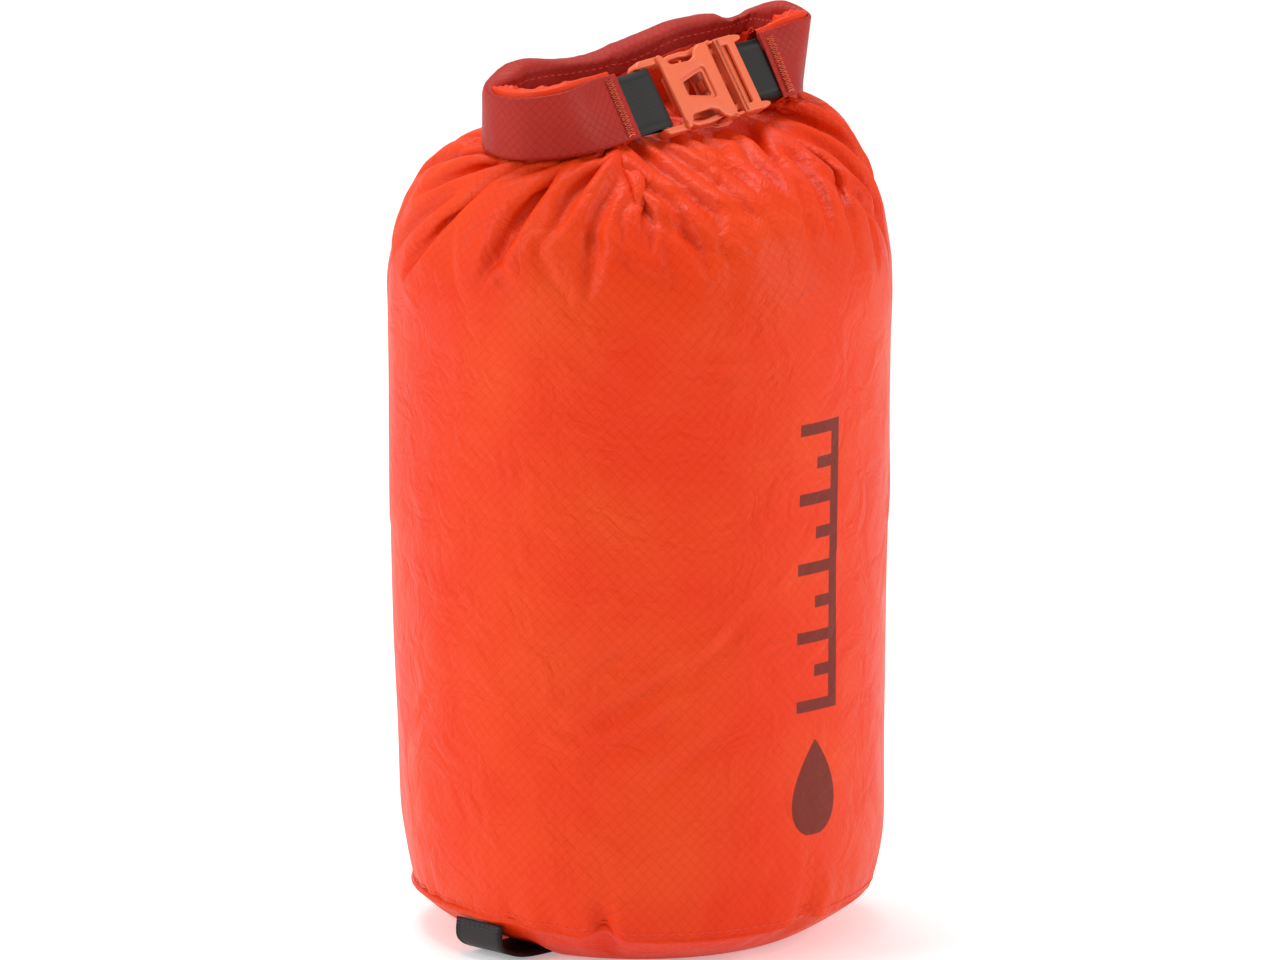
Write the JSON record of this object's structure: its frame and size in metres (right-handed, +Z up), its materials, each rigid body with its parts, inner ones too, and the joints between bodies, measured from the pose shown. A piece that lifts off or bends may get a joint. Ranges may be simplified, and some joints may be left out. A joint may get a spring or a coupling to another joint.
{
  "type": "dry bag",
  "caption": "Round roll-top dry bag of coated fabric, rolled shut, its closure bent into a ring handle and held by a side-release buckle, with a haul strap under the base.",
  "frame": {"origin": "middle of the base, on the floor that the bag stands on", "axes": "+Z up along the bag; the buckle faces -Y, so the rolled neck is at the back, +Y; +X runs from the buckle's socket to its plug. The buckle leans back 33 degrees at its top and rises 3 degrees towards the plug"},
  "size_m": [0.157, 0.157, 0.2826],
  "materials": {
    "bag_fabric": "polyurethane-coated ripstop nylon, satin",
    "closure_strip": "stiff coated strip, satin",
    "seam_tape": "heat-bonded tape",
    "stiffener": "plain, sewn in out of sight",
    "thread": "polyester thread",
    "webbing": "smooth coated webbing, satin",
    "buckle_plastic": "moulded acetal, satin"
  },
  "bodies": {
    "bag": {"side_wall": "bag_fabric", "side_seam_tape": "seam_tape", "base_panel": "bag_fabric", "base_seam_tape": "seam_tape", "base_stitching": "thread", "neck_fabric": "bag_fabric"},
    "haul_loop": {"haul_strap": "webbing", "haul_strap_tacks": "thread"},
    "collar": {"roll_core": "bag_fabric", "closure_strip": "closure_strip", "stiffener": "stiffener", "webbing_tab_left": "webbing", "bartack_left": "thread", "buckle_socket": "buckle_plastic"},
    "right_end": {"roll_core_right": "bag_fabric", "closure_strip_right": "closure_strip", "stiffener_right": "stiffener", "webbing_tab_right": "webbing", "bartack_right": "thread", "buckle_plug": "buckle_plastic"},
    "prong_top": {"prong_top": "buckle_plastic"},
    "prong_bottom": {"prong_bottom": "buckle_plastic"}
  },
  "joints": [
    {"name": "collar_tilt", "type": "hinge", "parent": "bag", "child": "collar", "pos_m": [0, 0.0132, 0.2525], "axis": [1, 0, 0], "range_deg": [-10, 10], "deforming": ["neck_fabric"]},
    {"name": "closure_release", "type": "slide", "parent": "collar", "child": "right_end", "axis": [0.9986, 0, 0.0523], "range_m": [0, 0.024]},
    {"name": "prong_top_squeeze", "type": "hinge", "parent": "right_end", "child": "prong_top", "pos_m": [0.02277, -0.01243, 0.27729], "axis": [-0.0285, -0.8387, 0.5439], "range_deg": [0, 6], "stiffness_Nm_per_rad": 0.6},
    {"name": "prong_bottom_squeeze", "type": "hinge", "parent": "right_end", "child": "prong_bottom", "pos_m": [0.02359, -0.02267, 0.26154], "axis": [0.0285, 0.8387, -0.5439], "range_deg": [0, 6], "stiffness_Nm_per_rad": 0.6},
    {"name": "haul_strap_drop", "type": "slide", "parent": "bag", "child": "haul_loop", "axis": [0, 0, -1], "range_m": [0, 0.022]}
  ],
  "couplings": [
    {"joint": "prong_bottom_squeeze", "follows": "prong_top_squeeze", "ratio": 1}
  ]
}
